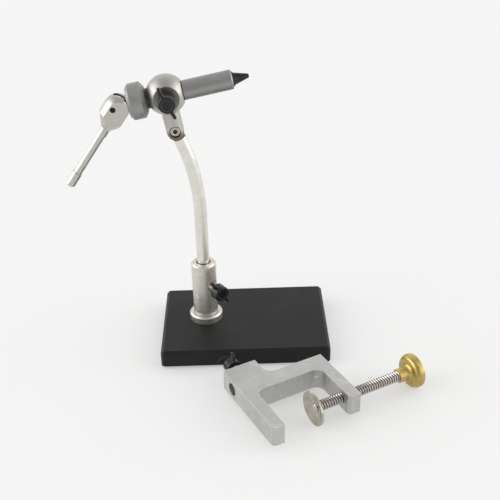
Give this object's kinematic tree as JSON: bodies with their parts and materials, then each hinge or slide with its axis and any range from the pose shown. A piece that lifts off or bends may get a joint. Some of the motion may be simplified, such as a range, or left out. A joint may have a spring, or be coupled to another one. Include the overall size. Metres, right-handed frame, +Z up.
{
  "type": "fly tying vise",
  "caption": "Fly tying vise on a pedestal base: bent stem, tilting ball head, rotating draw-collet jaws with a cam lever, and a screw clamp for a table edge.",
  "frame": {"origin": "on the table under the middle of the base plate, on the underside of its rubber sheet", "axes": "+Z up, +X right along the long side of the plate, towards the jaws, +Y to the back"},
  "size_m": [0.2507, 0.1821, 0.2136],
  "materials": {
    "black_powder_coat": "matte powder coat on steel",
    "black_rubber": "matte",
    "polished_stainless": "polished",
    "satin_stainless": "satin",
    "black_acetal": "smooth",
    "grey_aluminium": "bead blasted",
    "clamp_aluminium": "tumbled, matte",
    "black_oxide_steel": "black oxide",
    "black_plastic": "satin moulded",
    "brass": "turned, slightly dull"
  },
  "bodies": {
    "base": {"base_plate": "black_powder_coat", "rubber_pad": "black_rubber", "stem_post": "polished_stainless", "post_screw": "black_oxide_steel"},
    "liner": {"stem_liner": "black_acetal"},
    "stem": {"stem": "polished_stainless", "tilt_screw": "satin_stainless"},
    "head": {"head_body": "satin_stainless"},
    "sleeve": {"sleeve": "grey_aluminium", "front_washer": "black_acetal", "drag_ring": "black_acetal"},
    "thrust": {"thrust_washer": "satin_stainless"},
    "ring": {"adjusting_ring": "grey_aluminium"},
    "drawbar": {"drawbar": "black_oxide_steel"},
    "lever": {"cam_lever": "polished_stainless", "lever_pin": "satin_stainless"},
    "upper_jaw": {"upper_jaw": "black_oxide_steel"},
    "lower_jaw": {"lower_jaw": "black_oxide_steel"},
    "head_lock_plug": {"head_lock_plug": "black_acetal"},
    "head_lock_screw": {"head_lock_stud": "satin_stainless", "head_lock_knob": "black_plastic"},
    "post_lock_plug": {"post_lock_plug": "black_acetal"},
    "post_lock_screw": {"post_lock_stud": "satin_stainless", "post_lock_knob": "black_plastic"},
    "clamp": {"clamp_body": "clamp_aluminium"},
    "clamp_pad": {"clamp_pad": "satin_stainless"},
    "clamp_screw": {"clamp_screw": "satin_stainless", "clamp_knob": "brass"},
    "clamp_lock_plug": {"clamp_lock_plug": "black_acetal"},
    "clamp_lock_screw": {"clamp_lock_stud": "satin_stainless", "clamp_lock_knob": "black_plastic"}
  },
  "joints": [
    {"name": "stem_swivel", "type": "hinge", "parent": "base", "child": "liner", "pos_m": [-0.0302, 0.004, 0], "axis": [0, 0, 1], "continuous": true},
    {"name": "stem_height", "type": "slide", "parent": "liner", "child": "stem", "axis": [0, 0, 1], "range_m": [-0.005, 0.018]},
    {"name": "head_tilt", "type": "hinge", "parent": "stem", "child": "head", "pos_m": [-0.04454, 0.00275, 0.17297], "axis": [-0.0872, 0.9962, 0], "range_deg": [-45, 45]},
    {"name": "sleeve_rotation", "type": "hinge", "parent": "head", "child": "sleeve", "pos_m": [-0.04902, 0.00235, 0.19899], "axis": [0.9817, 0.0859, 0.1702], "continuous": true},
    {"name": "ring_advance", "type": "slide", "parent": "sleeve", "child": "thrust", "axis": [-0.9817, -0.0859, -0.1702], "range_m": [-0.00033, 0.00067]},
    {"name": "ring_turn", "type": "hinge", "parent": "thrust", "child": "ring", "pos_m": [-0.04902, 0.00235, 0.19899], "axis": [-0.9817, -0.0859, -0.1702], "range_deg": [-120, 240]},
    {"name": "draw", "type": "slide", "parent": "thrust", "child": "drawbar", "axis": [-0.9817, -0.0859, -0.1702], "range_m": [-0.00101, 0.00013]},
    {"name": "lever_swing", "type": "hinge", "parent": "drawbar", "child": "lever", "pos_m": [-0.08568, -0.00085, 0.19263], "axis": [0.0872, -0.9962, 0], "range_deg": [-40, 5]},
    {"name": "upper_jaw_flex", "type": "hinge", "parent": "drawbar", "child": "upper_jaw", "pos_m": [-0.03066, 0.00396, 0.20217], "axis": [0.0872, -0.9962, 0], "range_deg": [-0.07425, 0.587]},
    {"name": "lower_jaw_flex", "type": "hinge", "parent": "drawbar", "child": "lower_jaw", "pos_m": [-0.03066, 0.00396, 0.20217], "axis": [-0.0872, 0.9962, 0], "range_deg": [-0.07425, 0.587]},
    {"name": "head_lock_advance", "type": "slide", "parent": "head", "child": "head_lock_plug", "axis": [-0.0872, 0.9962, 0], "range_m": [-0.001, 0]},
    {"name": "head_lock_turn", "type": "hinge", "parent": "head_lock_plug", "child": "head_lock_screw", "pos_m": [-0.04902, 0.00235, 0.19899], "axis": [-0.0872, 0.9962, 0], "range_deg": [-361, 1]},
    {"name": "post_lock_advance", "type": "slide", "parent": "base", "child": "post_lock_plug", "axis": [-0.5878, 0.809, 0], "range_m": [-0.001, 0]},
    {"name": "post_lock_turn", "type": "hinge", "parent": "post_lock_plug", "child": "post_lock_screw", "pos_m": [-0.0302, 0.004, 0.0462], "axis": [-0.5878, 0.809, 0], "range_deg": [-361, 1]},
    {"name": "clamp_lift", "type": "slide", "parent": "base", "child": "clamp", "axis": [0, 0, 1], "range_m": [0, 0.06]},
    {"name": "clamp_lock_advance", "type": "slide", "parent": "clamp", "child": "clamp_lock_plug", "axis": [0.4602, -0.8878, 0], "range_m": [-0.001, 0]},
    {"name": "clamp_lock_turn", "type": "hinge", "parent": "clamp_lock_plug", "child": "clamp_lock_screw", "pos_m": [0.00111, -0.08132, 0.0125], "axis": [0.4602, -0.8878, 0], "range_deg": [-361, 1]},
    {"name": "clamp_pad_advance", "type": "slide", "parent": "clamp", "child": "clamp_pad", "axis": [-0.8878, -0.4602, 0], "range_m": [-0.0146, 0.02603]},
    {"name": "clamp_screw_turn", "type": "hinge", "parent": "clamp_pad", "child": "clamp_screw", "pos_m": [0.011, -0.128, 0.0125], "axis": [-0.8878, -0.4602, 0], "range_deg": [-4141, 7381]}
  ],
  "couplings": [
    {"joint": "ring_advance", "follows": "ring_turn", "m_per_rad": 0.00015915},
    {"joint": "draw", "follows": "lever_swing", "m_per_rad": 0.0014395},
    {"joint": "upper_jaw_flex", "follows": "lever_swing", "ratio": -0.01465},
    {"joint": "lower_jaw_flex", "follows": "lever_swing", "ratio": -0.01465},
    {"joint": "head_lock_turn", "follows": "head_lock_advance", "rad_per_m": 6283.2},
    {"joint": "post_lock_turn", "follows": "post_lock_advance", "rad_per_m": 6283.2},
    {"joint": "clamp_lock_turn", "follows": "clamp_lock_advance", "rad_per_m": 6283.2},
    {"joint": "clamp_screw_turn", "follows": "clamp_pad_advance", "rad_per_m": 4947.4}
  ]
}
